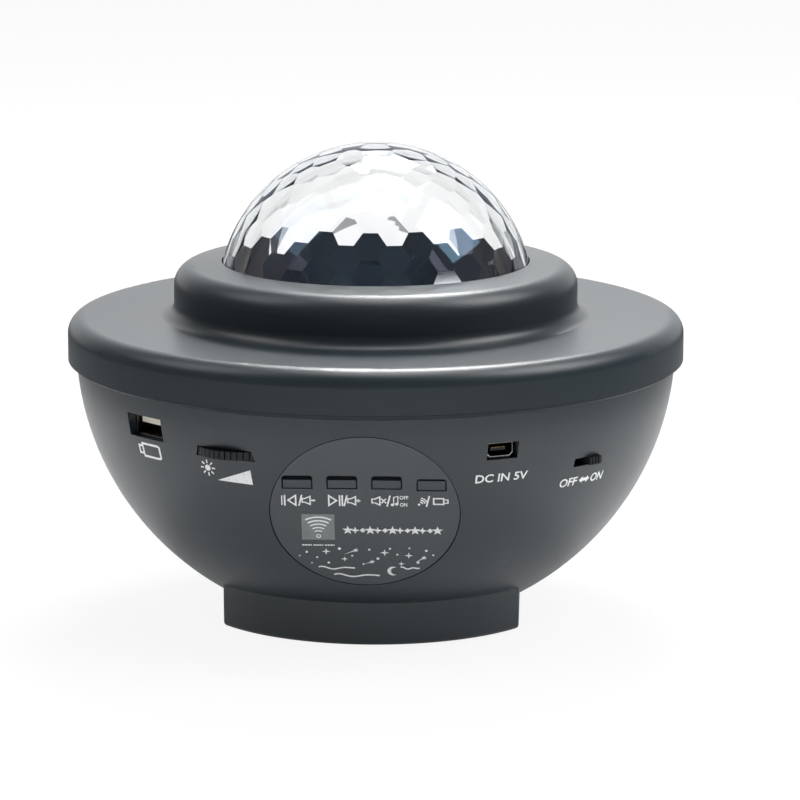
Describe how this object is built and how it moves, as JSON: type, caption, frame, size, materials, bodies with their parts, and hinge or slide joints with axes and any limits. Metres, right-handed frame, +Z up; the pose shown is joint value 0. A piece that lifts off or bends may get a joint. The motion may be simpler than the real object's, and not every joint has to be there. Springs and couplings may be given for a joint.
{
  "type": "star night light projector",
  "caption": "Bowl-shaped star night light projector with a stepped lid, a faceted clear dome, a round key panel on its front and sockets and controls on its sides.",
  "frame": {"origin": "centre of the bounding box in plan, at the surface that the rubber feet stand on", "axes": "+Z up to the top of the dome, -Y out of the control panel (the front), +X to the right as seen from the front"},
  "size_m": [0.168, 0.168, 0.1279],
  "materials": {
    "housing_plastic": "matte moulded ABS, fine grain, cool charcoal",
    "panel_plastic": "matte moulded ABS with printed pale grey marks",
    "key_plastic": "matte moulded ABS keys and controls",
    "clear_acrylic": "clear moulded acrylic with pressed facets",
    "grating_film": "clear diffraction film",
    "dark_plastic": "matte black moulded plastic",
    "pale_window": "pale grey infrared window",
    "gear_nylon": "natural white nylon",
    "steel": "bright steel",
    "socket_shell": "nickel-plated steel",
    "socket_insulator": "cream insulating plastic",
    "laser_brass": "machined brass",
    "reflector_metal": "bright metallised reflector",
    "sink_aluminium": "extruded aluminium",
    "circuit_board": "green glass-fibre circuit board",
    "board_parts": "moulded chips, plugs and capacitors",
    "emitter": "light emitter lens",
    "foot_rubber": "soft rubber",
    "cone_paper": "coated paper cone",
    "magnet_ferrite": "ferrite magnet with steel plates"
  },
  "bodies": {
    "base": {"bowl_housing": "housing_plastic", "top_cover": "housing_plastic", "dome_lens": "clear_acrylic", "light_deck": "dark_plastic", "ripple_lens": "clear_acrylic", "optics_plate": "dark_plastic", "gear_pins": "steel", "pin_clips": "steel", "motor": "steel", "laser_module": "laser_brass", "lamp_board": "circuit_board", "light_emitters": "emitter", "lamp_reflector": "reflector_metal", "heat_sink": "sink_aluminium", "bottom_cover": "housing_plastic", "rubber_feet": "foot_rubber", "speaker_basket": "steel", "speaker_magnet": "magnet_ferrite", "speaker_surround": "foot_rubber", "main_board": "circuit_board", "board_components": "board_parts", "memory_stick_shell": "socket_shell", "memory_stick_tongue": "socket_insulator", "stick_board": "circuit_board", "power_inlet_shell": "socket_shell", "power_inlet_tongue": "socket_insulator", "inlet_board": "circuit_board", "brightness_dial": "dark_plastic", "dial_board": "circuit_board", "power_switch_case": "dark_plastic", "switch_board": "circuit_board", "control_panel": "panel_plastic", "infrared_window": "pale_window", "key_switches": "dark_plastic", "key_board": "circuit_board", "infrared_receiver": "dark_plastic", "deck_screws": "steel", "post_screws": "steel", "housing_screws": "steel", "cover_screws": "steel", "main_board_screws": "steel", "heat_sink_screws": "steel", "motor_screws": "steel", "side_board_screws": "steel", "key_board_screws": "steel", "switch_board_screws": "steel"},
    "ripple_disc": {"ripple_disc": "clear_acrylic"},
    "grating": {"grating_gear": "gear_nylon", "grating_film": "grating_film"},
    "motor_rotor": {"motor_shaft": "steel", "motor_pinion": "gear_nylon"},
    "speaker_cone": {"speaker_cone": "cone_paper"},
    "brightness_wheel": {"brightness_wheel": "key_plastic"},
    "power_knob": {"power_knob": "key_plastic"},
    "previous_key": {"previous_key": "key_plastic"},
    "play_key": {"play_key": "key_plastic"},
    "mute_key": {"mute_key": "key_plastic"},
    "source_key": {"source_key": "key_plastic"}
  },
  "joints": [
    {"name": "previous_key_press", "type": "slide", "parent": "base", "child": "previous_key", "axis": [0, 0.8957, 0.4446], "range_m": [0, 0.0007], "stiffness_N_per_m": 250},
    {"name": "play_key_press", "type": "slide", "parent": "base", "child": "play_key", "axis": [0, 0.8957, 0.4446], "range_m": [0, 0.0007], "stiffness_N_per_m": 250},
    {"name": "mute_key_press", "type": "slide", "parent": "base", "child": "mute_key", "axis": [0, 0.8957, 0.4446], "range_m": [0, 0.0007], "stiffness_N_per_m": 250},
    {"name": "source_key_press", "type": "slide", "parent": "base", "child": "source_key", "axis": [0, 0.8957, 0.4446], "range_m": [0, 0.0007], "stiffness_N_per_m": 250},
    {"name": "brightness_turn", "type": "hinge", "parent": "base", "child": "brightness_wheel", "pos_m": [-0.0319, -0.06207, 0.05685], "axis": [0, 0, 1], "range_deg": [-135, 135]},
    {"name": "power_slide", "type": "slide", "parent": "base", "child": "power_knob", "axis": [-0.682, -0.7314, 0], "range_m": [0, 0.0045]},
    {"name": "ripple_spin", "type": "hinge", "parent": "base", "child": "ripple_disc", "pos_m": [0.015, 0, 0.074], "axis": [0, 0, 1], "continuous": true},
    {"name": "grating_spin", "type": "hinge", "parent": "base", "child": "grating", "pos_m": [-0.0242, 0, 0.074], "axis": [0, 0, 1], "continuous": true},
    {"name": "motor_spin", "type": "hinge", "parent": "base", "child": "motor_rotor", "pos_m": [0.00301, 0.02967, 0.074], "axis": [0, 0, 1], "continuous": true},
    {"name": "speaker_move", "type": "slide", "parent": "base", "child": "speaker_cone", "axis": [0, 0, 1], "range_m": [-0.0005, 0.0005], "stiffness_N_per_m": 1000, "deforming": ["speaker_surround"]}
  ],
  "couplings": [
    {"joint": "motor_spin", "follows": "ripple_spin", "ratio": -5.6667},
    {"joint": "grating_spin", "follows": "ripple_spin", "ratio": -2.2667}
  ]
}
